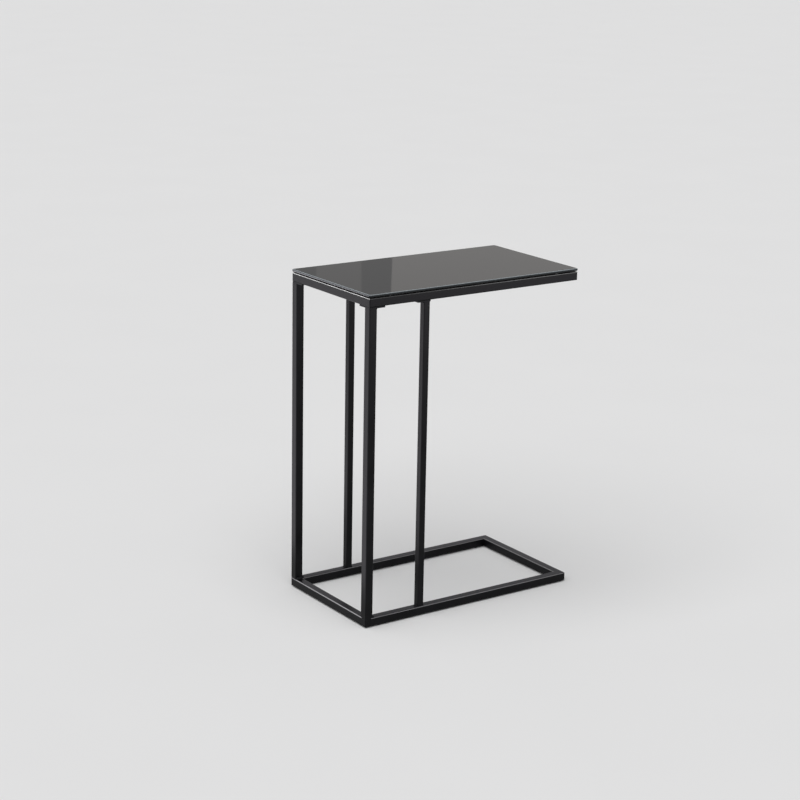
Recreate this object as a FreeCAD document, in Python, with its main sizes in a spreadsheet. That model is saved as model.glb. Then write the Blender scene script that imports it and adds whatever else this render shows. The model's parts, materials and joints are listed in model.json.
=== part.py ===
import FreeCAD, Part
import math
import os
import Sketcher

# C-shaped side table: a welded ring of square tube on the floor, four posts at its closed end,
# a second ring screwed on top of the posts and a loose sheet of black glass lying on that ring.
# The origin is on the floor under the middle of the table. X runs along the length, with the
# open side of the C towards +X, Y runs from front to rear, and Z points up. Millimetres.

# Driving dimensions: name, value, what it measures
SIZES = [
    ("table_height", 612, "floor to the top of the glass"),
    ("frame_length", 459, "outside length of the base ring and the top ring"),
    ("frame_width", 254, "outside width of the base ring and the top ring"),
    ("frame_tube", 15.9, "outside of the square tube of both rings and the corner posts"),
    ("frame_tube_radius", 1.8, "outside corner radius of that tube"),
    ("frame_tube_wall", 1.2, "its wall"),
    ("mid_tube", 12.7, "outside of the square tube of the mid posts"),
    ("mid_tube_radius", 1.5, "outside corner radius of that tube"),
    ("mid_tube_wall", 1.0, "its wall"),
    ("mid_post_offset", 122, "left end of the rings to the middle of the mid posts"),
    ("glass_thickness", 5, "glass sheet"),
    ("glass_overhang", 1, "how far the glass stands out past the top ring all round"),
    ("glass_corner_radius", 4, "corners of the glass seen from above"),
    ("glass_edge_radius", 2.2, "rounding of the glass edge, above and below"),
    ("pad_thickness", 1.5, "bumper pad between top ring and glass"),
    ("pad_diameter", 9, "head of the bumper pad"),
    ("pad_stem_diameter", 4.6, "stem of the bumper pad"),
    ("pad_stem_length", 4, "how far the stem reaches below the pad's head"),
    ("pad_end_distance", 45, "ends of the top ring to the pads"),
    ("plate_thickness", 2.5, "plates on the tops of the posts"),
    ("plate_edge_inset", 0.3, "plate edges behind the faces of the tube above"),
    ("corner_plate_reach", 16.5, "corner plate past the corner post, along both rails"),
    ("mid_plate_reach", 14.3, "tab of the mid plate past the mid post, towards the closed end"),
    ("screw_diameter", 4, "countersunk screw, which ends level with its nut"),
    ("screw_head_overhang", 1.6, "its head past its shank, all round"),
    ("screw_tip_chamfer", 0.5, "chamfer at its end"),
    ("screw_socket_circumradius", 1.45, "hexagon socket, corner to middle"),
    ("screw_socket_depth", 1.4, "hexagon socket"),
    ("screw_clearance", 0.4, "plate holes and countersinks wider than the screw, on the diameter"),
    ("nut_thread_clearance", 0.2, "nut bore wider than the screw, on the diameter"),
    ("nut_wall", 0.9, "rivet nut round its bore"),
    ("nut_collar", 1.2, "its upset collar inside the tube, past its shank all round"),
    ("nut_collar_height", 2, "that collar"),
    ("nut_length", 8, "whole rivet nut"),
    ("hole_clearance", 0.2, "holes for stems and nuts wider than what they hold, on the diameter"),
    ("glide_height", 2, "floor glide below the base ring"),
    ("glide_diameter", 11, "its foot"),
    ("glide_chamfer", 0.6, "chamfer round the foot"),
    ("glide_stem_diameter", 5.5, "its push-in stem"),
    ("glide_stem_length", 7, "stem above the foot"),
    ("glide_end_distance", 32, "ends of the base ring to the glides"),
]

doc = FreeCAD.newDocument("side_table")
sheet = doc.addObject("Spreadsheet::Sheet", "Sizes")
for row, (alias, value, meaning) in enumerate(SIZES, start=1):
    sheet.set(f"A{row}", meaning)
    sheet.set(f"B{row}", str(value))
    sheet.setAlias(f"B{row}", alias)
doc.recompute()

# Levels and places that follow from the driving dimensions
BASE_MIDDLE = "(Sizes.glide_height + Sizes.frame_tube / 2)"
BASE_TOP = "(Sizes.glide_height + Sizes.frame_tube)"
GLASS_BOTTOM = "(Sizes.table_height - Sizes.glass_thickness)"
RING_TOP = f"({GLASS_BOTTOM} - Sizes.pad_thickness)"
RING_MIDDLE = f"({RING_TOP} - Sizes.frame_tube / 2)"
RING_BOTTOM = f"({RING_TOP} - Sizes.frame_tube)"
PLATE_BOTTOM = f"({RING_BOTTOM} - Sizes.plate_thickness)"
POST_LENGTH = f"({PLATE_BOTTOM} - {BASE_TOP})"

LEFT_END = "(-Sizes.frame_length / 2)"
RAIL_X = "(Sizes.frame_length / 2 - Sizes.frame_tube / 2)"
RAIL_Y = "(Sizes.frame_width / 2 - Sizes.frame_tube / 2)"
MID_POST_X = f"({LEFT_END} + Sizes.mid_post_offset)"

# Screws stand in the middle of the part of each plate that reaches past its post
CORNER_SCREW = "(Sizes.frame_tube + Sizes.corner_plate_reach / 2)"
MID_SCREW_X = f"({MID_POST_X} - Sizes.mid_tube / 2 - Sizes.mid_plate_reach / 2)"
CORNER_SCREW_X = f"({LEFT_END} + {CORNER_SCREW})"
CORNER_SCREW_Y = f"(Sizes.frame_width / 2 - {CORNER_SCREW})"

PAD_X = "(Sizes.frame_length / 2 - Sizes.pad_end_distance)"
GLIDE_X = "(Sizes.frame_length / 2 - Sizes.glide_end_distance)"

SCREW_RADIUS = "(Sizes.screw_diameter / 2)"
SCREW_LENGTH = "(Sizes.plate_thickness + Sizes.nut_length)"
PLATE_HOLE = "(Sizes.screw_diameter + Sizes.screw_clearance)"
NUT_BORE_RADIUS = "((Sizes.screw_diameter + Sizes.nut_thread_clearance) / 2)"
NUT_SHANK_RADIUS = f"({NUT_BORE_RADIUS} + Sizes.nut_wall)"
NUT_HOLE = f"(2 * {NUT_SHANK_RADIUS} + Sizes.hole_clearance)"
PAD_HOLE = "(Sizes.pad_stem_diameter + Sizes.hole_clearance)"
GLIDE_HOLE = "(Sizes.glide_stem_diameter + Sizes.hole_clearance)"

# The smallest inside corner radius of a tube whose wall is nearly as thick as its outside radius
LEAST_INSIDE_RADIUS = 0.2
# The most of the glass's thickness that the rounding of one edge may take
LARGEST_EDGE_SHARE = 0.45
# How far a mitre cut reaches past the tube on every side
CUT_MARGIN = 2.0
# Edges flatter than this lie in one level
FLAT = 1e-6

nodes = []


def size_of(expression):
    """The present value of an expression of the sheet's sizes."""
    return float(sheet.evalExpression(expression))


def new_body(label, turn=0.0, x="0", y="0", z="0"):
    """An empty body, turned about Z in degrees and placed by expressions."""
    body = doc.addObject("PartDesign::Body", label)
    body.Label = label
    body.Placement = FreeCAD.Placement(FreeCAD.Vector(), FreeCAD.Rotation(FreeCAD.Vector(0, 0, 1), turn))
    for axis, place in zip("xyz", (x, y, z)):
        body.setExpression(f"Placement.Base.{axis}", place)
    return body


def origin_plane(body, role):
    """One of the body's own origin planes."""
    return [feature for feature in body.Origin.OriginFeatures if feature.Role == role][0]


def new_sketch(body, name, role):
    """A sketch on one of the body's own origin planes."""
    sketch = body.newObject("Sketcher::SketchObject", name)
    sketch.AttachmentSupport = [(origin_plane(body, role), "")]
    sketch.MapMode = "FlatFace"
    return sketch


def constrain(sketch, expression, kind, *geometry):
    """A dimension of the sketch that follows an expression of the sheet."""
    index = sketch.addConstraint(Sketcher.Constraint(kind, *geometry, size_of(expression)))
    name = f"size_{index}"
    sketch.renameConstraint(index, name)
    sketch.setExpression(f"Constraints.{name}", expression)


def draw_chain(sketch, corners):
    """Straight lines from corner to corner. Each corner is a pair of expressions."""
    points = [FreeCAD.Vector(size_of(x), size_of(y), 0) for x, y in corners]
    lines = []
    for start, end in zip(points, points[1:]):
        lines.append(sketch.addGeometry(Part.LineSegment(start, end)))
    for line, following in zip(lines, lines[1:]):
        sketch.addConstraint(Sketcher.Constraint("Coincident", line, 2, following, 1))
    for line, (x, y) in zip(lines, corners):
        constrain(sketch, x, "DistanceX", -1, 1, line, 1)
        constrain(sketch, y, "DistanceY", -1, 1, line, 1)
    return lines


def draw_polygon(sketch, corners):
    """A closed outline of straight lines."""
    lines = draw_chain(sketch, corners + corners[:1])
    sketch.addConstraint(Sketcher.Constraint("Coincident", lines[-1], 2, lines[0], 1))


def draw_circle(sketch, diameter, x, y):
    """A circle whose diameter and centre are expressions."""
    centre = FreeCAD.Vector(size_of(x), size_of(y), 0)
    circle = Part.Circle(centre, FreeCAD.Vector(0, 0, 1), size_of(diameter) / 2)
    index = sketch.addGeometry(circle)
    constrain(sketch, diameter, "Diameter", index)
    constrain(sketch, x, "DistanceX", -1, 1, index, 3)
    constrain(sketch, y, "DistanceY", -1, 1, index, 3)


def draw_rounded_rectangle(sketch, width, depth, radius):
    """A rectangle with rounded corners about the sketch's origin, from three expressions."""
    half_x = size_of(width) / 2
    half_y = size_of(depth) / 2
    bend = size_of(radius)
    in_x = half_x - bend
    in_y = half_y - bend
    ends = [
        ((-in_x, -half_y), (in_x, -half_y)),
        ((half_x, -in_y), (half_x, in_y)),
        ((in_x, half_y), (-in_x, half_y)),
        ((-half_x, in_y), (-half_x, -in_y)),
    ]
    centres = [(in_x, -in_y), (in_x, in_y), (-in_x, in_y), (-in_x, -in_y)]
    lines = []
    arcs = []
    for quarter, ((start, end), centre) in enumerate(zip(ends, centres)):
        line = Part.LineSegment(FreeCAD.Vector(*start, 0), FreeCAD.Vector(*end, 0))
        circle = Part.Circle(FreeCAD.Vector(*centre, 0), FreeCAD.Vector(0, 0, 1), bend)
        arc = Part.ArcOfCircle(circle, math.radians(90 * (quarter - 1)), math.radians(90 * quarter))
        lines.append(sketch.addGeometry(line))
        arcs.append(sketch.addGeometry(arc))
    for line, arc, following in zip(lines, arcs, lines[1:] + lines[:1]):
        sketch.addConstraint(Sketcher.Constraint("Tangent", line, 2, arc, 1))
        sketch.addConstraint(Sketcher.Constraint("Tangent", arc, 2, following, 1))
    for line, kind in zip(lines, ("Horizontal", "Vertical", "Horizontal", "Vertical")):
        sketch.addConstraint(Sketcher.Constraint(kind, line))
    for arc in arcs[1:]:
        sketch.addConstraint(Sketcher.Constraint("Equal", arcs[0], arc))
    sketch.addConstraint(Sketcher.Constraint("Symmetric", arcs[0], 3, arcs[2], 3, -1, 1))
    constrain(sketch, width, "DistanceX", lines[3], 1, lines[1], 1)
    constrain(sketch, depth, "DistanceY", lines[0], 1, lines[2], 1)
    constrain(sketch, radius, "Radius", arcs[0])


def draw_tube_section(sketch, outside, radius, wall):
    """The section of a square tube: outside and inside outlines."""
    inside = f"({outside} - 2 * {wall})"
    inside_radius = f"max({radius} - {wall}; {LEAST_INSIDE_RADIUS})"
    draw_rounded_rectangle(sketch, outside, outside, radius)
    draw_rounded_rectangle(sketch, inside, inside, inside_radius)


def pad(body, sketch, length, side="One side"):
    """The sketch drawn out square to its plane by an expression."""
    feature = body.newObject("PartDesign::Pad", f"{sketch.Name}_pad")
    feature.Profile = sketch
    feature.SideType = side
    feature.setExpression("Length", length)
    doc.recompute()


def cut_through(body, sketch, side="One side", upwards=False):
    """The sketch cut right through the body, which has to lose material by it."""
    before = body.Shape.Volume
    feature = body.newObject("PartDesign::Pocket", f"{sketch.Name}_cut")
    feature.Profile = sketch
    feature.Type = "ThroughAll"
    feature.SideType = side
    feature.Reversed = upwards
    doc.recompute()
    if not body.Shape.Volume < before:
        raise RuntimeError(f"{body.Label}: {sketch.Name} cuts nothing")
    return feature


def mirror_cut(body, cut):
    """The same cut at the other end of the body, which has to lose material by it."""
    before = body.Shape.Volume
    feature = body.newObject("PartDesign::Mirrored", f"{cut.Name}_mirrored")
    feature.Originals = [cut]
    feature.MirrorPlane = (origin_plane(body, "YZ_Plane"), [""])
    body.Tip = feature
    doc.recompute()
    if not body.Shape.Volume < before:
        raise RuntimeError(f"{body.Label}: {cut.Name} is not mirrored")


def revolve(body, sketch):
    """The sketch turned about its own upright axis."""
    feature = body.newObject("PartDesign::Revolution", f"{sketch.Name}_turn")
    feature.Profile = sketch
    feature.ReferenceAxis = (sketch, ["V_Axis"])
    doc.recompute()


def edges_where(body, wanted):
    """The last feature of a body with the names of those of its edges that are wanted."""
    names = [f"Edge{number}" for number, edge in enumerate(body.Tip.Shape.Edges, start=1) if wanted(edge)]
    return body.Tip, names


def draw_mitre(sketch, length):
    """The waste at the +X end of a rail: all past the mitre and outside the ring's rounded corner."""
    end = f"({length} / 2)"
    half = "(Sizes.frame_tube / 2)"
    bend_start = f"({end} - Sizes.frame_tube_radius)"
    bend_depth = "(Sizes.frame_tube_radius * (1 - sqrt(0.5)))"
    outer = f"(-{half} - {CUT_MARGIN})"
    inner = f"({half} + {CUT_MARGIN})"
    beyond = f"({end} + {CUT_MARGIN})"
    lines = draw_chain(sketch, [
        (f"({end} - {bend_depth})", f"({bend_depth} - {half})"),
        (f"({end} - Sizes.frame_tube - {CUT_MARGIN})", inner),
        (beyond, inner),
        (beyond, outer),
        (bend_start, outer),
        (bend_start, "-" + half),
    ])
    radius = size_of("Sizes.frame_tube_radius")
    centre = FreeCAD.Vector(size_of(bend_start), radius - size_of(half), 0)
    circle = Part.Circle(centre, FreeCAD.Vector(0, 0, 1), radius)
    arc = sketch.addGeometry(Part.ArcOfCircle(circle, math.radians(-90), math.radians(-45)))
    constrain(sketch, bend_start, "DistanceX", -1, 1, lines[-1], 2)
    constrain(sketch, "-" + half, "DistanceY", -1, 1, lines[-1], 2)
    sketch.addConstraint(Sketcher.Constraint("Coincident", lines[-1], 2, arc, 1))
    sketch.addConstraint(Sketcher.Constraint("Coincident", arc, 2, lines[0], 1))
    constrain(sketch, bend_start, "DistanceX", -1, 1, arc, 3)


def make_rail(label, length, turn, x, y, z, lower_holes=None, upper_holes=None):
    """A mitred tube of a ring. Unturned, it lies along X with its outer face towards -Y."""
    body = new_body(label, turn, x, y, z)
    section = new_sketch(body, f"{label}_section", "YZ_Plane")
    draw_tube_section(section, "Sizes.frame_tube", "Sizes.frame_tube_radius", "Sizes.frame_tube_wall")
    pad(body, section, length, side="Symmetric")
    mitre = new_sketch(body, f"{label}_mitre", "XY_Plane")
    draw_mitre(mitre, length)
    mitre_cut = cut_through(body, mitre, side="Symmetric")
    mirror_cut(body, mitre_cut)
    for name, holes, upwards in (("lower", lower_holes, False), ("upper", upper_holes, True)):
        if holes:
            diameter, places = holes
            sketch = new_sketch(body, f"{label}_{name}_holes", "XY_Plane")
            for place in places:
                draw_circle(sketch, diameter, place, "0")
            cut_through(body, sketch, upwards=upwards)
    nodes.append(body)


def make_post(label, outside, radius, wall, x, y):
    """An upright tube from the base ring to the plate under the top ring."""
    body = new_body(label, 0, x, y, BASE_TOP)
    section = new_sketch(body, f"{label}_section", "XY_Plane")
    draw_tube_section(section, outside, radius, wall)
    pad(body, section, POST_LENGTH)
    nodes.append(body)


def drill_and_countersink(body, places):
    """Screw holes through a plate, countersunk from below."""
    sketch = new_sketch(body, f"{body.Name}_holes", "XY_Plane")
    for x, y in places:
        draw_circle(sketch, PLATE_HOLE, x, y)
    cut_through(body, sketch, upwards=True)
    lower_rims = edges_where(body, lambda edge: edge.isClosed() and edge.BoundBox.ZMax < FLAT)
    chamfer = body.newObject("PartDesign::Chamfer", f"{body.Name}_countersink")
    chamfer.Base = lower_rims
    chamfer.setExpression("Size", "Sizes.screw_head_overhang")
    doc.recompute()


def make_corner_plate(label, turn, y):
    """A five-sided plate under a mitred corner. Unturned, its square corner is at the front left."""
    body = new_body(label, turn, LEFT_END, y, PLATE_BOTTOM)
    near = "Sizes.plate_edge_inset"
    far = "(Sizes.frame_tube - Sizes.plate_edge_inset)"
    end = "(Sizes.frame_tube + Sizes.corner_plate_reach)"
    outline = new_sketch(body, f"{label}_outline", "XY_Plane")
    draw_polygon(outline, [(near, near), (end, near), (end, far), (far, end), (near, end)])
    pad(body, outline, "Sizes.plate_thickness")
    corner_limit = size_of(near) + FLAT
    corner_edge = edges_where(
        body, lambda edge: max(edge.BoundBox.XMax, edge.BoundBox.YMax) < corner_limit)
    rounding = body.newObject("PartDesign::Fillet", f"{label}_corner")
    rounding.Base = corner_edge
    rounding.setExpression("Radius", f"(Sizes.frame_tube_radius - {near})")
    doc.recompute()
    middle = "(Sizes.frame_tube / 2)"
    drill_and_countersink(body, [(CORNER_SCREW, middle), (middle, CORNER_SCREW)])
    nodes.append(body)


def make_mid_plate(label, y):
    """A plate as wide as the rail above it, with a tab towards the closed end."""
    body = new_body(label, 0, MID_POST_X, y, PLATE_BOTTOM)
    half_width = "(Sizes.frame_tube / 2 - Sizes.plate_edge_inset)"
    post_face = "(Sizes.mid_tube / 2)"
    tab_end = "(Sizes.mid_tube / 2 + Sizes.mid_plate_reach)"
    outline = new_sketch(body, f"{label}_outline", "XY_Plane")
    draw_polygon(outline, [
        ("-" + tab_end, "-" + half_width),
        (post_face, "-" + half_width),
        (post_face, half_width),
        ("-" + tab_end, half_width),
    ])
    pad(body, outline, "Sizes.plate_thickness")
    drill_and_countersink(body, [(f"({MID_SCREW_X} - {MID_POST_X})", "0")])
    nodes.append(body)


def make_turned(label, x, y, z, profile):
    """A piece turned about its upright axis, from pairs of radius and height."""
    body = new_body(label, 0, x, y, z)
    sketch = new_sketch(body, f"{label}_profile", "XZ_Plane")
    draw_polygon(sketch, profile)
    revolve(body, sketch)
    return body


def make_screw(label, x, y):
    """A countersunk screw, flush with the underside of its plate."""
    body = make_turned(label, x, y, PLATE_BOTTOM, [
        ("0", "0"),
        (f"({SCREW_RADIUS} + Sizes.screw_head_overhang)", "0"),
        (SCREW_RADIUS, "Sizes.screw_head_overhang"),
        (SCREW_RADIUS, f"({SCREW_LENGTH} - Sizes.screw_tip_chamfer)"),
        (f"({SCREW_RADIUS} - Sizes.screw_tip_chamfer)", SCREW_LENGTH),
        ("0", SCREW_LENGTH),
    ])
    before = body.Shape.Volume
    socket = body.newObject("PartDesign::SubtractivePrism", f"{label}_socket")
    socket.Polygon = 6
    socket.setExpression("Circumradius", "Sizes.screw_socket_circumradius")
    socket.setExpression("Height", "Sizes.screw_socket_depth")
    doc.recompute()
    if not body.Shape.Volume < before:
        raise RuntimeError(f"{label}: the socket cuts nothing")
    return body


def make_rivet_nut(label, x, y):
    """A rivet nut, flush with the underside of its rail and upset against the wall inside."""
    collar_top = "(Sizes.frame_tube_wall + Sizes.nut_collar_height)"
    return make_turned(label, x, y, RING_BOTTOM, [
        (NUT_BORE_RADIUS, "0"),
        (NUT_SHANK_RADIUS, "0"),
        (NUT_SHANK_RADIUS, "Sizes.frame_tube_wall"),
        (f"({NUT_SHANK_RADIUS} + Sizes.nut_collar)", "Sizes.frame_tube_wall"),
        (NUT_SHANK_RADIUS, collar_top),
        (NUT_SHANK_RADIUS, "Sizes.nut_length"),
        (NUT_BORE_RADIUS, "Sizes.nut_length"),
    ])


def make_group(label, members):
    """Identical fasteners as one group of separate solids."""
    group = doc.addObject("Part::Compound", label)
    group.Label = label
    group.Links = members
    doc.recompute()
    nodes.append(group)


def make_glass():
    """The glass sheet, its edge polished round."""
    body = new_body("glass_top", z=GLASS_BOTTOM)
    outline = new_sketch(body, "glass_outline", "XY_Plane")
    draw_rounded_rectangle(
        outline,
        "(Sizes.frame_length + 2 * Sizes.glass_overhang)",
        "(Sizes.frame_width + 2 * Sizes.glass_overhang)",
        "Sizes.glass_corner_radius",
    )
    pad(body, outline, "Sizes.glass_thickness")
    outlines = edges_where(body, lambda edge: edge.BoundBox.ZLength < FLAT)
    edge_rounding = body.newObject("PartDesign::Fillet", "glass_edge")
    edge_rounding.Base = outlines
    edge_rounding.setExpression(
        "Radius", f"min(Sizes.glass_edge_radius; {LARGEST_EDGE_SHARE} * Sizes.glass_thickness)")
    doc.recompute()
    nodes.append(body)


def make_glass_pad(label, x, y):
    """A clear bumper with a stem that is pushed into the top ring."""
    stem = "(Sizes.pad_stem_diameter / 2)"
    nodes.append(make_turned(label, x, y, RING_TOP, [
        ("0", "-Sizes.pad_stem_length"),
        (stem, "-Sizes.pad_stem_length"),
        (stem, "0"),
        ("(Sizes.pad_diameter / 2)", "0"),
        ("(Sizes.pad_diameter / 2)", "Sizes.pad_thickness"),
        ("0", "Sizes.pad_thickness"),
    ]))


def make_floor_glide(label, x, y):
    """A plastic foot with a stem that is pushed into the base ring."""
    foot = "(Sizes.glide_diameter / 2)"
    stem = "(Sizes.glide_stem_diameter / 2)"
    stem_top = "(Sizes.glide_height + Sizes.glide_stem_length)"
    nodes.append(make_turned(label, x, y, "0", [
        ("0", "0"),
        (f"({foot} - Sizes.glide_chamfer)", "0"),
        (foot, "Sizes.glide_chamfer"),
        (foot, "Sizes.glide_height"),
        (stem, "Sizes.glide_height"),
        (stem, stem_top),
        ("0", stem_top),
    ]))


# Base ring and top ring. The rear rails are the front ones turned half round.
LENGTH = "Sizes.frame_length"
WIDTH = "Sizes.frame_width"
glide_holes = (GLIDE_HOLE, [GLIDE_X, "-" + GLIDE_X])
pad_holes = (PAD_HOLE, [PAD_X, "-" + PAD_X])
front_nut_holes = (NUT_HOLE, [CORNER_SCREW_X, MID_SCREW_X])
rear_nut_holes = (NUT_HOLE, ["-" + CORNER_SCREW_X, "-" + MID_SCREW_X])
left_nut_holes = (NUT_HOLE, [CORNER_SCREW_Y, "-" + CORNER_SCREW_Y])

make_rail("base_rail_front", LENGTH, 0, "0", "-" + RAIL_Y, BASE_MIDDLE, lower_holes=glide_holes)
make_rail("base_rail_rear", LENGTH, 180, "0", RAIL_Y, BASE_MIDDLE, lower_holes=glide_holes)
make_rail("base_rail_left", WIDTH, -90, "-" + RAIL_X, "0", BASE_MIDDLE)
make_rail("base_rail_right", WIDTH, 90, RAIL_X, "0", BASE_MIDDLE)
make_rail("top_rail_front", LENGTH, 0, "0", "-" + RAIL_Y, RING_MIDDLE, front_nut_holes, pad_holes)
make_rail("top_rail_rear", LENGTH, 180, "0", RAIL_Y, RING_MIDDLE, rear_nut_holes, pad_holes)
make_rail("top_rail_left", WIDTH, -90, "-" + RAIL_X, "0", RING_MIDDLE, left_nut_holes)
make_rail("top_rail_right", WIDTH, 90, RAIL_X, "0", RING_MIDDLE)

# Posts and plates, front and rear
for side, sign, plate_turn in (("front", "-", 0), ("rear", "", -90)):
    make_post(f"corner_post_{side}", "Sizes.frame_tube", "Sizes.frame_tube_radius",
              "Sizes.frame_tube_wall", "-" + RAIL_X, sign + RAIL_Y)
    make_post(f"mid_post_{side}", "Sizes.mid_tube", "Sizes.mid_tube_radius",
              "Sizes.mid_tube_wall", MID_POST_X, sign + RAIL_Y)
    make_corner_plate(f"corner_plate_{side}", plate_turn, f"{sign}(Sizes.frame_width / 2)")
    make_mid_plate(f"mid_plate_{side}", sign + RAIL_Y)

# Screws and rivet nuts, in the same places
screw_places = []
for sign in ("-", ""):
    screw_places.append((CORNER_SCREW_X, sign + RAIL_Y))
    screw_places.append(("-" + RAIL_X, sign + CORNER_SCREW_Y))
    screw_places.append((MID_SCREW_X, sign + RAIL_Y))
screws = [make_screw(f"screw_{index}", x, y) for index, (x, y) in enumerate(screw_places)]
make_group("plate_screws", screws)
rivet_nuts = [make_rivet_nut(f"nut_{index}", x, y) for index, (x, y) in enumerate(screw_places)]
make_group("rivet_nuts", rivet_nuts)

# Glass, its pads and the floor glides
make_glass()
for side, sign_y in (("front", "-"), ("rear", "")):
    for end, sign_x in (("left", "-"), ("right", "")):
        make_glass_pad(f"glass_pad_{side}_{end}", sign_x + PAD_X, sign_y + RAIL_Y)
        make_floor_glide(f"floor_glide_{side}_{end}", sign_x + GLIDE_X, sign_y + RAIL_Y)

# Nothing is written unless every object is sound
doc.recompute()
for item in doc.Objects:
    if "Invalid" in item.State or "Error" in item.State:
        raise RuntimeError(f"{item.Label} failed: {item.State}")
for node in nodes:
    if node.Shape.isNull() or not node.Shape.isValid():
        raise RuntimeError(f"{node.Label} has no valid shape")

os.makedirs("parts", exist_ok=True)
for node in nodes:
    node.Shape.exportStep(f"parts/{node.Label}.step")
    print(node.Label, len(node.Shape.Solids), round(node.Shape.Volume, 1))
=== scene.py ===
import json
import math

import bmesh
import bpy
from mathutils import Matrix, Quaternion, Vector

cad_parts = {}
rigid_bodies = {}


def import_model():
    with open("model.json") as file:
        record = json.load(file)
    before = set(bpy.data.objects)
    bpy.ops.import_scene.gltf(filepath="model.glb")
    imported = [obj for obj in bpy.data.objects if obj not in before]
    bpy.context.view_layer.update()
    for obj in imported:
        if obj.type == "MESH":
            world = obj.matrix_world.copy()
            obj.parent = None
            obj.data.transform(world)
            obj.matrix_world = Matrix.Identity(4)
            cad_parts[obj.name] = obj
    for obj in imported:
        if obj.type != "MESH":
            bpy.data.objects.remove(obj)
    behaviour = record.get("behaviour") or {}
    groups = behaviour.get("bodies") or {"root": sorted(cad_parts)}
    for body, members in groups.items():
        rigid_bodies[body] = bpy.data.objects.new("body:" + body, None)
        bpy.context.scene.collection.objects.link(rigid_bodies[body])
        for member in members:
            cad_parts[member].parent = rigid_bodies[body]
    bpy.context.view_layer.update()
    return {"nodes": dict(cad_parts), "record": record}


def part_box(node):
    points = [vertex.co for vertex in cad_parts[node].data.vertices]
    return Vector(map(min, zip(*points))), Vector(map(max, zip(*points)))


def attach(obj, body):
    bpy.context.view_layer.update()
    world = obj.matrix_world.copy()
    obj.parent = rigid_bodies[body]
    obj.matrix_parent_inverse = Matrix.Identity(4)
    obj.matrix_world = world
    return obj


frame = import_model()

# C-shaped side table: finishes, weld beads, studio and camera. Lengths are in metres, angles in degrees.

MM = 0.001

# Camera: where it looks, from which side, and how long the lens is.
AIM = Vector((-0.0746, 0.0, 0.3736))
VIEW_AZIMUTH = -34.78
VIEW_ELEVATION = 15.50
VIEW_ROLL = 1.07
VIEW_DISTANCE = 3.661
LENS = 89.75
SENSOR = 36.0

# Studio: one wide soft lamp overhead and an even surround give the level of light. Seen directly or in
# a mirror, the surround pales towards the horizon, to the floor's tone.
LAMP_AZIMUTH = -60.0
LAMP_ELEVATION = 66.0
LAMP_SPREAD = 70.0
LAMP_STRENGTH = 2.2
SURROUND_COLOUR = (0.99, 0.99, 1.0, 1.0)
SURROUND_LIGHT = 0.30
HORIZON_TONE = 0.745
HORIZON_FADE = 0.16
FLOOR_PALE = (0.81, 0.81, 0.81, 1.0)
FLOOR_DULL = (0.79, 0.79, 0.79, 1.0)
FLOOR_RADIUS = 60.0
FLOOR_SIDES = 96

# Soft boxes that only show as reflections, each in the pieces whose names start with the given words.
# Azimuth, elevation and distance say where a box stands, seen from the panel centre.
PANEL_CENTRE = Vector((0.0, 0.0, 0.35))
NEUTRAL = (1.0, 1.0, 1.0)
COOL = (1.0, 0.96, 1.04)
WARM = (1.0, 0.95, 0.90)
FRAME = ("base_rail", "top_rail", "corner_", "mid_", "weld_")
TOP_LEFT = ("top_rail_left",)
TOP_FRONT = ("top_rail_front",)
BASE_RING = ("base_rail",)
BASE_ENDS = ("base_rail_left", "base_rail_right")
GLASS = ("glass_top",)
PANELS = {
    "base_edge_panel": dict(
        mirrors=BASE_ENDS, azimuth=189.0, elevation=27.0, distance=2.05,
        width=1.56, height=0.40, brightness=2.4, tint=NEUTRAL),
    "top_edge_panel": dict(
        mirrors=TOP_LEFT, azimuth=210.0, elevation=30.0, distance=2.4,
        width=1.6, height=0.60, tilt=-44.0, brightness=7.0, tint=NEUTRAL),
    "left_panel": dict(
        mirrors=FRAME, azimuth=270.0, elevation=-8.0, distance=0.37,
        width=1.10, height=0.58, brightness=1.5, tint=COOL),
    "front_edge_panel": dict(
        mirrors=TOP_FRONT, azimuth=42.4, elevation=36.6, distance=0.86,
        width=0.34, height=0.32, brightness=1.1, tint=NEUTRAL),
    "front_panel": dict(
        mirrors=FRAME, azimuth=30.2, elevation=5.7, distance=0.91,
        width=0.90, height=0.32, brightness=1.8, tint=COOL),
    "base_top_panel": dict(
        mirrors=BASE_RING, azimuth=145.0, elevation=3.8, distance=1.5,
        width=1.0, height=0.5, brightness=0.60, tint=COOL),
    "glass_edge_panel": dict(
        mirrors=GLASS, azimuth=231.6, elevation=13.2, distance=0.66,
        width=0.60, height=0.18, brightness=10.0, tint=COOL),
    "glass_panel_narrow": dict(
        mirrors=GLASS, azimuth=149.6, elevation=15.0, distance=4.18,
        width=0.175, height=1.6, brightness=0.07, tint=WARM),
    "glass_panel_wide": dict(
        mirrors=GLASS, azimuth=141.0, elevation=15.0, distance=4.18,
        width=0.80, height=1.6, brightness=0.19, tint=WARM),
}

# The frame's coat: how rough it is, and its shine on faces and on the upper edges that hands rub.
SATIN = (0.27, 0.34)
DULL = (0.50, 0.60)
COAT_IOR = 1.8
COAT_SHINE = 0.05
EDGE_SHINE = 1.0

# The glass: how far its surface faces up where the ground edge ends and where the polished top begins.
GROUND_END = 0.97
POLISH_START = 0.992
GLASS_IOR = 1.52

# Welds: the leg of a bead at each kind of seam, its ripples, and how far it is sunk into the steel.
CORNER_BEAD_LEG = 4.0 * MM
CORNER_BEAD_MARGIN = 0.4 * MM
MID_BEAD_LEG = 2.2 * MM
PLATE_BEAD_LEG = 2.4 * MM
BEAD_PITCH = 1.3 * MM
BEAD_STEP = 0.22 * MM
BEAD_SINK = 0.9 * MM
BEAD_END_ROUND = 1.0 * MM
BEAD_BULGE = 0.18
BEAD_RIPPLE = 0.05
BEAD_LAG = 0.4
BEAD_TIP = 0.06
BEAD_FACE_POINTS = 7

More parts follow.
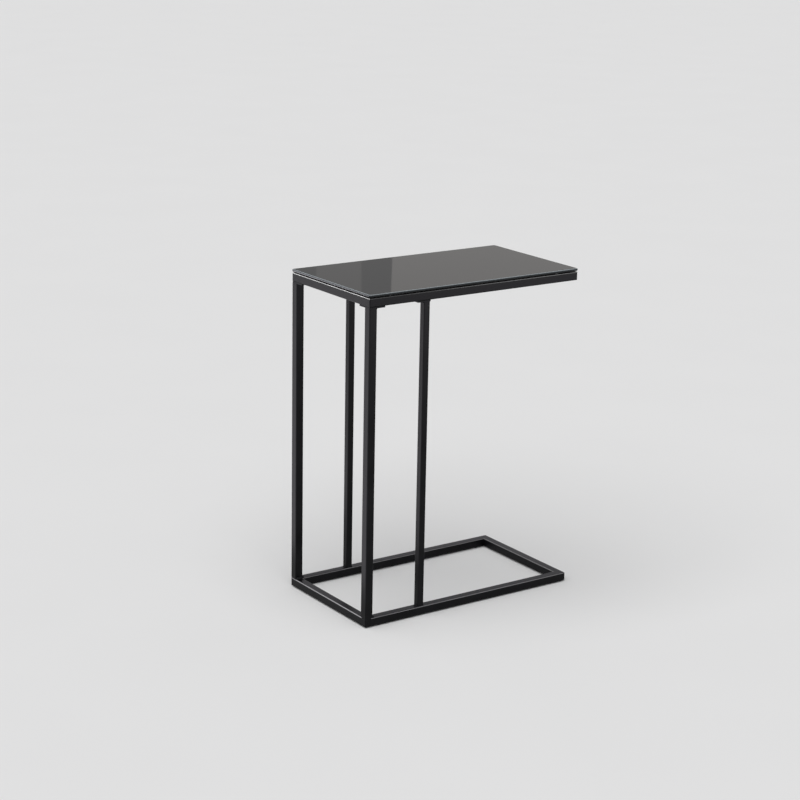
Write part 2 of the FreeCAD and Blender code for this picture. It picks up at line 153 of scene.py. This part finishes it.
# Rounding of the long edges of the tubes.
TUBE_ROUND = 1.8 * MM
MID_TUBE_ROUND = 1.5 * MM

# Fill in the groove between a corner post and the rounded edge of the rail under it: a section of points
# in millimetres (outward from the post's face, up from the seam), how far it is recessed and how its ends
# sink in.
FILL_SECTION = ((-0.9, 0.4), (0.0, 0.8), (0.04, 0.3), (0.05, -0.9), (0.04, -2.0), (0.0, -2.4), (-0.9, -2.2))
FILL_RECESS = {"front": 0.0, "rear": 0.65 * MM}
FILL_STEPS = 24
FILL_FADE = 2.5 * MM
FILL_FADE_DEPTH = 1.3 * MM

UP = Vector((0.0, 0.0, 1.0))
SIDE_SIGN = {"front": -1, "rear": 1}


def side_direction(azimuth, elevation):
    """Unit vector from the table towards an azimuth (0 is the front, 90 the right) and an elevation."""
    a = math.radians(azimuth)
    e = math.radians(elevation)
    return Vector((math.sin(a) * math.cos(e), -math.cos(a) * math.cos(e), math.sin(e)))


# Finishes

class Nodes:
    """A material's node tree, with short calls to add a node and to join two sockets."""

    def __init__(self, name):
        self.material = bpy.data.materials.new(name)
        self.material.use_nodes = True
        self.tree = self.material.node_tree
        self.tree.nodes.clear()
        self.output = self.add("ShaderNodeOutputMaterial")
        self.shader = self.add("ShaderNodeBsdfPrincipled")
        self.join(self.shader, "BSDF", self.output, "Surface")
        self.place = self.add("ShaderNodeTexCoord")

    def add(self, kind, **settings):
        node = self.tree.nodes.new(kind)
        for key, value in settings.items():
            setattr(node, key, value)
        return node

    def join(self, source, output, target, socket):
        self.tree.links.new(source.outputs[output], target.inputs[socket])

    def set(self, **values):
        """Constants of the shader, by socket name with underscores for spaces."""
        for key, value in values.items():
            self.shader.inputs[key.replace("_", " ")].default_value = value

    def noise(self, scale, detail=2.0, roughness=0.5):
        node = self.add("ShaderNodeTexNoise")
        node.inputs["Scale"].default_value = scale
        node.inputs["Detail"].default_value = detail
        node.inputs["Roughness"].default_value = roughness
        self.join(self.place, "Object", node, "Vector")
        return node

    def spread(self, source, low, high, source_low=0.3, source_high=0.7, output="Fac"):
        """The source's usual range, mapped to low and high."""
        node = self.add("ShaderNodeMapRange")
        node.inputs["From Min"].default_value = source_low
        node.inputs["From Max"].default_value = source_high
        node.inputs["To Min"].default_value = low
        node.inputs["To Max"].default_value = high
        self.join(source, output, node, "Value")
        return node

    def tint(self, source, low, high, output="Fac"):
        """A colour between two, by the source."""
        node = self.add("ShaderNodeMix", data_type="RGBA")
        node.inputs["A"].default_value = low
        node.inputs["B"].default_value = high
        self.join(source, output, node, "Factor")
        return node

    def facing_up(self):
        """How far the surface faces up: 0 underneath, 0.5 on a side, 1 on top."""
        normal = self.add("ShaderNodeSeparateXYZ")
        self.join(self.place, "Normal", normal, "Vector")
        return self.spread(normal, 0.0, 1.0, -1.0, 1.0, "Z")

    def ramp(self, source, stops):
        """Colours that follow each other as the source rises. Each stop is a level and a colour."""
        node = self.add("ShaderNodeValToRGB")
        elements = node.color_ramp.elements
        while len(elements) < len(stops):
            elements.new(1.0)
        for element, (level, colour) in zip(elements, stops):
            element.position = level
            element.color = colour
        self.join(source, "Result", node, "Fac")
        return node

    def bump(self, source, strength, distance, under=None):
        """Fine relief from a noise, on top of another relief or alone."""
        node = self.add("ShaderNodeBump")
        node.inputs["Strength"].default_value = strength
        node.inputs["Distance"].default_value = distance
        self.join(source, "Fac", node, "Height")
        if under is not None:
            self.join(under, "Normal", node, "Normal")
        return node


def grey(level):
    return (level, level, level, 1.0)


def powder_coat(name, roughness, rubbed=False):
    """Black powder coat: a fine orange peel, uneven blackness and roughness, upper edges rubbed or not."""
    n = Nodes(name)
    peel = n.noise(850.0, detail=2.0)
    grain = n.noise(4200.0, detail=1.0)
    patches = n.noise(26.0, detail=3.0)
    deep = (0.0035, 0.0035, 0.0042, 1.0)
    soft = (0.0065, 0.0065, 0.0076, 1.0)
    colour = n.tint(n.spread(patches, 0.0, 1.0), deep, soft, "Result")
    n.join(colour, "Result", n.shader, "Base Color")
    n.join(n.spread(patches, *roughness), "Result", n.shader, "Roughness")
    skin = n.bump(peel, 0.10, 0.15 * MM)
    skin = n.bump(grain, 0.05, 0.04 * MM, under=skin)
    n.join(skin, "Normal", n.shader, "Normal")
    n.set(IOR=COAT_IOR, Specular_IOR_Level=COAT_SHINE)
    if rubbed:
        face = grey(COAT_SHINE)
        edge = grey(EDGE_SHINE)
        shine = n.ramp(n.facing_up(), ((0.58, face), (0.64, edge), (0.96, edge), (0.985, face)))
        n.join(shine, "Color", n.shader, "Specular IOR Level")
    return n.material


def black_glass():
    """Black glass: a mirror top with faint smears, a ground edge whose colour is painted darker at its foot
    (painted shade) and paler upward (painted reflection), a pale ground arris that is partly a painted
    highlight, and a matt underside.
    """
    n = Nodes("black_glass")
    facing = n.facing_up()
    under_colour = (0.004, 0.004, 0.004, 1.0)
    # The edge colours are painted light: dark at the foot of the edge as painted shade, paler towards the
    # top as painted reflection.
    edge_low_painted_shade = (0.009, 0.010, 0.011, 1.0)
    edge_mid_painted_reflection = (0.026, 0.029, 0.032, 1.0)
    edge_high_painted_reflection = (0.085, 0.094, 0.101, 1.0)
    # The arris is pale partly because a ground arris is frosted and partly as a painted highlight.
    arris_pale_with_painted_highlight = (0.44, 0.48, 0.50, 1.0)
    top_colour = (0.0065, 0.0055, 0.005, 1.0)
    # The ramp lays the painted shade and reflection on the edge by how far its surface faces up.
    colour = n.ramp(facing, (
        (0.05, under_colour), (0.25, edge_low_painted_shade), (0.50, edge_mid_painted_reflection),
        (0.80, edge_high_painted_reflection), (GROUND_END, arris_pale_with_painted_highlight), (POLISH_START, top_colour)))
    n.join(colour, "Color", n.shader, "Base Color")
    ground = n.ramp(facing, (
        (0.10, grey(0.45)), (0.30, grey(0.26)), (0.54, grey(0.26)), (0.62, grey(0.80))))
    shine = n.ramp(facing, ((GROUND_END, grey(0.10)), (POLISH_START, grey(0.42))))
    smears = n.noise(14.0, detail=5.0, roughness=0.62)
    polished = n.spread(facing, 0.0, 1.0, GROUND_END, POLISH_START, "Result")
    roughness = n.add("ShaderNodeMix", data_type="FLOAT")
    n.join(polished, "Result", roughness, "Factor")
    n.join(ground, "Color", roughness, "A")
    n.join(n.spread(smears, 0.018, 0.045), "Result", roughness, "B")
    n.join(roughness, "Result", n.shader, "Roughness")
    n.join(shine, "Color", n.shader, "Specular IOR Level")
    n.set(IOR=GLASS_IOR)
    return n.material


def clear_pad():
    """Soft clear plastic, slightly cloudy."""
    n = Nodes("clear_soft_plastic")
    cloud = n.noise(600.0, detail=3.0)
    colour = n.tint(cloud, (0.66, 0.69, 0.70, 1.0), (0.80, 0.82, 0.82, 1.0))
    n.join(colour, "Result", n.shader, "Base Color")
    n.join(n.spread(cloud, 0.22, 0.38), "Result", n.shader, "Roughness")
    n.join(n.bump(cloud, 0.05, 0.1 * MM), "Normal", n.shader, "Normal")
    n.set(Transmission_Weight=0.55, IOR=1.45)
    return n.material


def plated_steel(name, dark, light, low, high):
    """Zinc plate: fine turning marks and a slightly blotchy tone."""
    n = Nodes(name)
    marks = n.noise(2600.0, detail=3.0)
    blotch = n.noise(420.0, detail=3.0)
    n.join(n.tint(n.spread(blotch, 0.0, 1.0), dark, light, "Result"), "Result", n.shader, "Base Color")
    n.join(n.spread(marks, low, high), "Result", n.shader, "Roughness")
    n.join(n.bump(marks, 0.12, 0.05 * MM), "Normal", n.shader, "Normal")
    n.set(Metallic=1.0)
    return n.material


def glide_plastic():
    """Moulded black plastic with a fine spark-eroded grain."""
    n = Nodes("moulded_black_plastic")
    grain = n.noise(2200.0, detail=3.0)
    colour = n.tint(grain, (0.012, 0.012, 0.012, 1.0), (0.024, 0.024, 0.025, 1.0))
    n.join(colour, "Result", n.shader, "Base Color")
    n.join(n.spread(grain, 0.48, 0.62), "Result", n.shader, "Roughness")
    n.join(n.bump(grain, 0.15, 0.08 * MM), "Normal", n.shader, "Normal")
    return n.material


def dress_nodes():
    """Gives every solid the finish of its material slot."""
    finishes = {
        "black_steel": powder_coat("satin_black_powder_coat", SATIN, rubbed=True),
        "black_glass": black_glass(),
        "clear_pad": clear_pad(),
        "black_zinc": plated_steel(
            "black_zinc_plate", (0.045, 0.045, 0.05, 1.0), (0.085, 0.085, 0.09, 1.0), 0.32, 0.5),
        "zinc_steel": plated_steel(
            "bright_zinc_plate", (0.52, 0.52, 0.5, 1.0), (0.68, 0.68, 0.66, 1.0), 0.2, 0.36),
        "glide_plastic": glide_plastic(),
    }
    for subpart in frame["record"]["subparts"]:
        node = frame["nodes"][subpart["node"]]
        node.data.materials.clear()
        node.data.materials.append(finishes[subpart["material_slot"]])


# Welds

def add_weld(name, rings, finish):
    """A closed solid through a row of rings, coated like the frame and riding on it."""
    shape = bmesh.new()
    rows = [[shape.verts.new(point) for point in ring] for ring in rings]
    count = len(rings[0])
    for row, following in zip(rows, rows[1:]):
        for i in range(count):
            j = (i + 1) % count
            shape.faces.new((row[i], row[j], following[j], following[i]))
    shape.faces.new(rows[0])
    shape.faces.new(rows[-1])
    bmesh.ops.recalc_face_normals(shape, faces=shape.faces)
    for face in shape.faces:
        face.smooth = True
    mesh = bpy.data.meshes.new(name)
    shape.to_mesh(mesh)
    shape.free()
    mesh.materials.append(finish)
    weld = bpy.data.objects.new(name, mesh)
    bpy.context.scene.collection.objects.link(weld)
    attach(weld, "frame")


def bead_rings(start, end, outward, upward, leg):
    """Rings of a rippled fillet bead along a seam. Its legs run outward and upward from the seam."""
    run = end - start
    length = run.length
    steps = round(length / BEAD_STEP)
    crest = (outward + upward).normalized()
    rings = []
    for i in range(steps + 1):
        travel = length * i / steps
        seam = start + run * (i / steps)
        to_end = length * min(i, steps - i) / steps
        rounding = min(1.0, to_end / BEAD_END_ROUND)
        size = leg * max(BEAD_TIP, math.sqrt(rounding * (2 - rounding)))
        ring = [seam - BEAD_SINK * (outward + upward), seam + size * outward - BEAD_SINK * upward]
        for k in range(BEAD_FACE_POINTS):
            across = k / (BEAD_FACE_POINTS - 1)
            crown = 4 * across * (1 - across)
            ripple = math.sin(2 * math.pi * (travel / BEAD_PITCH + BEAD_LAG * crown))
            height = size * crown * (BEAD_BULGE + BEAD_RIPPLE * ripple)
            ring.append(seam + size * ((1 - across) * outward + across * upward) + height * crest)
        ring.append(seam + size * upward - BEAD_SINK * outward)
        rings.append(ring)
    return rings


def bead_along_side(post, facing, seam_height, upward, leg, margin):
    """Rings of the bead along the side of a post that faces one way, with a margin left at both ends."""
    low, high = post
    middle = (low + high) / 2
    middle.z = seam_height
    sideways = UP.cross(facing)
    half_out = abs((high - low).dot(facing)) / 2
    half_along = abs((high - low).dot(sideways)) / 2 - margin
    seam = middle + half_out * facing
    return bead_rings(seam - half_along * sideways, seam + half_along * sideways, facing, upward, leg)


def fill_rings(post, side, seam_height):
    """Rings of the fill round a corner post's outer faces, from the left one to the front or rear one."""
    low, high = post
    sign = SIDE_SIGN[side]
    outer = low.y if sign < 0 else high.y
    inner = high.y if sign < 0 else low.y
    centre = Vector((low.x + TUBE_ROUND, outer - sign * TUBE_ROUND, seam_height))
    left_start = Vector((low.x, inner + sign * TUBE_ROUND, seam_height))
    left_end = Vector((low.x, centre.y, seam_height))
    face_start = Vector((centre.x, outer, seam_height))
    face_end = Vector((high.x - TUBE_ROUND, outer, seam_height))
    fractions = [i / FILL_STEPS for i in range(FILL_STEPS + 1)]
    path = [(left_start.lerp(left_end, f), Vector((-1, 0, 0))) for f in fractions]
    for f in fractions[1:-1]:
        turn = f * math.pi / 2
        normal = Vector((-math.cos(turn), sign * math.sin(turn), 0))
        path.append((centre + TUBE_ROUND * normal, normal))
    path += [(face_start.lerp(face_end, f), Vector((0, sign, 0))) for f in fractions]
    rings = []
    for point, normal in path:
        nearest_end = min((point - left_start).length, (point - face_end).length)
        fade = max(0.0, 1.0 - nearest_end / FILL_FADE)
        sink = FILL_RECESS[side] + FILL_FADE_DEPTH * fade * fade
        rings.append([point + (out * MM - sink) * normal + up * MM * UP for out, up in FILL_SECTION])
    return rings


def make_welds():
    """Beads at the foot and at the plate of every post, and the fill round the feet of the corner posts."""
    smooth = powder_coat("smooth_black_powder_coat", SATIN)
    dull = powder_coat("dull_black_powder_coat", DULL)
    rail_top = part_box("base_rail_left")[1].z
    right = Vector((1, 0, 0))
    for side, sign in SIDE_SIGN.items():
        inward = Vector((0, -sign, 0))
        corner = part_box("corner_post_" + side)
        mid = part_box("mid_post_" + side)
        corner_top = corner[1].z
        mid_top = mid[1].z
        seams = (
            ("corner_foot_right", corner, right, rail_top, UP, CORNER_BEAD_LEG, CORNER_BEAD_MARGIN),
            ("corner_foot_inner", corner, inward, rail_top, UP, CORNER_BEAD_LEG, TUBE_ROUND),
            ("corner_plate_right", corner, right, corner_top, -UP, PLATE_BEAD_LEG, TUBE_ROUND),
            ("corner_plate_inner", corner, inward, corner_top, -UP, PLATE_BEAD_LEG, TUBE_ROUND),
            ("mid_foot_left", mid, -right, rail_top, UP, MID_BEAD_LEG, MID_TUBE_ROUND),
            ("mid_foot_right", mid, right, rail_top, UP, MID_BEAD_LEG, MID_TUBE_ROUND),
            ("mid_plate_left", mid, -right, mid_top, -UP, PLATE_BEAD_LEG, MID_TUBE_ROUND),
        )
        for place, post, facing, height, upward, leg, margin in seams:
            rings = bead_along_side(post, facing, height, upward, leg, margin)
            add_weld("weld_" + place + "_" + side, rings, dull)
        add_weld("weld_fill_" + side, fill_rings(corner, side, rail_top), smooth)


# Studio

def make_floor():
    """A wide pale disc that the table stands on."""
    mesh = bpy.data.meshes.new("studio_floor")
    shape = bmesh.new()
    bmesh.ops.create_circle(shape, cap_ends=True, radius=FLOOR_RADIUS, segments=FLOOR_SIDES)
    shape.to_mesh(mesh)
    shape.free()
    floor = bpy.data.objects.new("studio_floor", mesh)
    bpy.context.scene.collection.objects.link(floor)
    n = Nodes("pale_floor")
    n.join(n.tint(n.noise(3.0), FLOOR_DULL, FLOOR_PALE), "Result", n.shader, "Base Color")
    n.set(Roughness=0.9, Specular_IOR_Level=0.1)
    mesh.materials.append(n.material)


def make_surround():
    """The even surround, and the paler horizon that only the camera, mirrors and clear pieces see."""
    world = bpy.data.worlds.new("studio_surround")
    bpy.context.scene.world = world
    world.use_nodes = True
    nodes = world.node_tree.nodes
    join = world.node_tree.links.new
    back = nodes["Background"]
    back.inputs["Color"].default_value = SURROUND_COLOUR
    place = nodes.new("ShaderNodeTexCoord")
    height = nodes.new("ShaderNodeSeparateXYZ")
    join(place.outputs["Generated"], height.inputs["Vector"])
    haze = nodes.new("ShaderNodeMapRange")
    haze.interpolation_type = "SMOOTHSTEP"
    haze.inputs["From Max"].default_value = HORIZON_FADE
    haze.inputs["To Min"].default_value = HORIZON_TONE
    haze.inputs["To Max"].default_value = SURROUND_LIGHT
    join(height.outputs["Z"], haze.inputs["Value"])
    ray = nodes.new("ShaderNodeLightPath")
    seen = ray.outputs["Is Camera Ray"]
    for other in ("Is Glossy Ray", "Is Transmission Ray"):
        either = nodes.new("ShaderNodeMath")
        either.operation = "MAXIMUM"
        join(seen, either.inputs[0])
        join(ray.outputs[other], either.inputs[1])
        seen = either.outputs["Value"]
    strength = nodes.new("ShaderNodeMix")
    strength.inputs["A"].default_value = SURROUND_LIGHT
    join(seen, strength.inputs["Factor"])
    join(haze.outputs["Result"], strength.inputs["B"])
    join(strength.outputs["Result"], back.inputs["Strength"])


def make_lamp():
    """The wide soft lamp overhead."""
    lamp = bpy.data.lights.new("overhead_lamp", "SUN")
    lamp.energy = LAMP_STRENGTH
    lamp.angle = math.radians(LAMP_SPREAD)
    holder = bpy.data.objects.new("overhead_lamp", lamp)
    holder.rotation_mode = "QUATERNION"
    holder.rotation_quaternion = side_direction(LAMP_AZIMUTH, LAMP_ELEVATION).to_track_quat("Z", "Y")
    bpy.context.scene.collection.objects.link(holder)


def make_panel(name, mirrors, azimuth, elevation, distance, width, height, brightness, tint, tilt=0.0):
    """A soft box that faces the table and shows only in the gloss of the pieces that mirror it."""
    panel = bpy.data.lights.new(name, "AREA")
    panel.shape = "RECTANGLE"
    panel.size = width
    panel.size_y = height
    panel.energy = brightness * math.pi * width * height
    panel.color = tint
    holder = bpy.data.objects.new(name, panel)
    toward = side_direction(azimuth, elevation)
    holder.location = PANEL_CENTRE + distance * toward
    holder.rotation_mode = "QUATERNION"
    holder.rotation_quaternion = toward.to_track_quat("Z", "Y") @ Quaternion((0, 0, 1), math.radians(tilt))
    holder.visible_camera = False
    holder.visible_diffuse = False
    shown_in = bpy.data.collections.new("mirrors_of_" + name)
    for thing in bpy.context.scene.objects:
        if thing.name.startswith(mirrors):
            shown_in.objects.link(thing)
    holder.light_linking.receiver_collection = shown_in
    bpy.context.scene.collection.objects.link(holder)


def make_camera():
    """The camera, turned a little about its own axis."""
    data = bpy.data.cameras.new("camera")
    data.lens = LENS
    data.sensor_fit = "HORIZONTAL"
    data.sensor_width = SENSOR
    data.clip_end = 2 * FLOOR_RADIUS
    camera = bpy.data.objects.new("camera", data)
    back = side_direction(VIEW_AZIMUTH, VIEW_ELEVATION)
    camera.location = AIM + VIEW_DISTANCE * back
    roll = Quaternion((0, 0, 1), math.radians(VIEW_ROLL))
    camera.rotation_mode = "QUATERNION"
    camera.rotation_quaternion = (-back).to_track_quat("-Z", "Y") @ roll
    bpy.context.scene.collection.objects.link(camera)
    bpy.context.scene.camera = camera


dress_nodes()
make_welds()
make_floor()
make_surround()
make_lamp()
for panel_name, panel_values in PANELS.items():
    make_panel(panel_name, **panel_values)
make_camera()
bpy.context.scene.view_settings.view_transform = "Standard"
